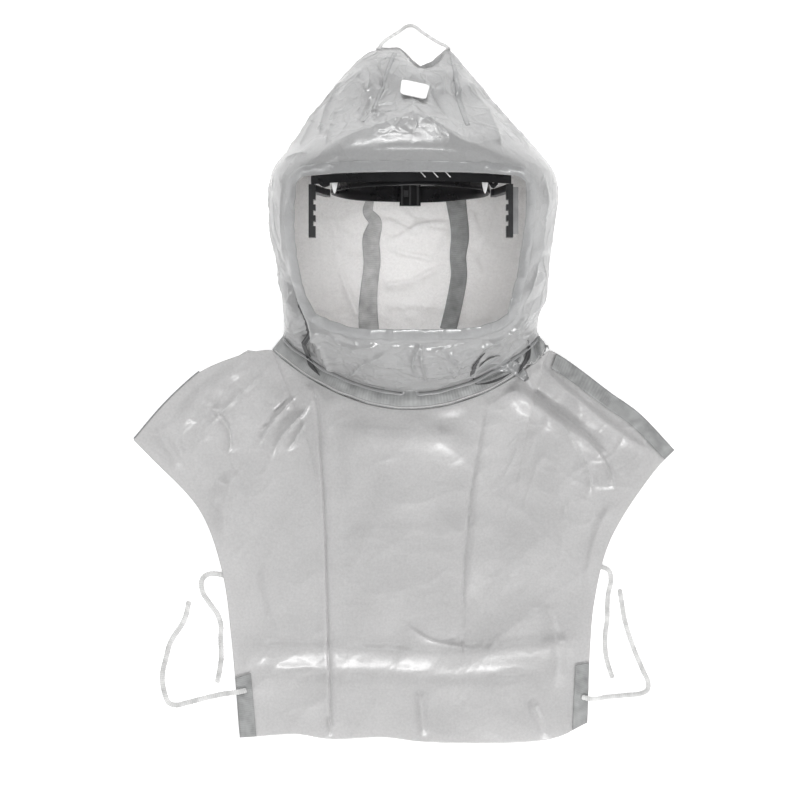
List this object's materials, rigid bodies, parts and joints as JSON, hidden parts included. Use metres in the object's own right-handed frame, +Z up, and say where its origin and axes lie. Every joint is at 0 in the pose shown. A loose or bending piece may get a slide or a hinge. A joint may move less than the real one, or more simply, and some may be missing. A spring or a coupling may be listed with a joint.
{
  "type": "respirator hood",
  "caption": "Grey coated-fabric respirator hood with a clear visor, inner head suspension, a bib with waist ties and a hang loop, laid flat on its back.",
  "frame": {"origin": "bottom centre of the bounding box of the hood and bib, on the surface that the hood lies on", "axes": "+Y from the bib's hem to the crown, +Z up out of the surface, the way the visor faces, +X to the right of the picture"},
  "size_m": [0.595, 0.7899, 0.2401],
  "materials": {
    "coated_fabric": "glossy film-coated nonwoven, faintly see-through",
    "bib_fabric": "satin film-coated nonwoven",
    "seam_tape": "ribbed matte tape",
    "binding": "glossy folded edge",
    "clear_visor": "clear flexible sheet",
    "black_plastic": "satin black",
    "grey_plastic": "satin dark grey",
    "white_ribbon": "woven ribbon",
    "white_label": "smooth blank label"
  },
  "bodies": {
    "root": {"hood_front_panel": "coated_fabric", "hood_centre_panel": "coated_fabric", "visor": "clear_visor", "visor_binding": "binding", "brow_label": "white_label", "seam_tape_back_left": "seam_tape", "seam_tape_back_right": "seam_tape", "brow_band": "black_plastic", "nape_strap": "black_plastic", "size_buckle": "black_plastic", "brow_frame": "black_plastic", "side_bracket_left": "grey_plastic", "side_bracket_right": "grey_plastic", "crown_strap": "black_plastic", "collar_tape_front": "seam_tape", "collar_tape_back": "seam_tape", "bib_front": "bib_fabric", "bib_back": "bib_fabric", "shoulder_tape_left": "seam_tape", "shoulder_tape_right": "seam_tape", "tie_patch_left": "seam_tape", "tie_patch_right": "seam_tape", "tie_front_left": "white_ribbon", "tie_front_right": "white_ribbon", "tie_back_left": "white_ribbon", "tie_back_right": "white_ribbon", "hang_loop": "white_ribbon"}
  },
  "joints": []
}
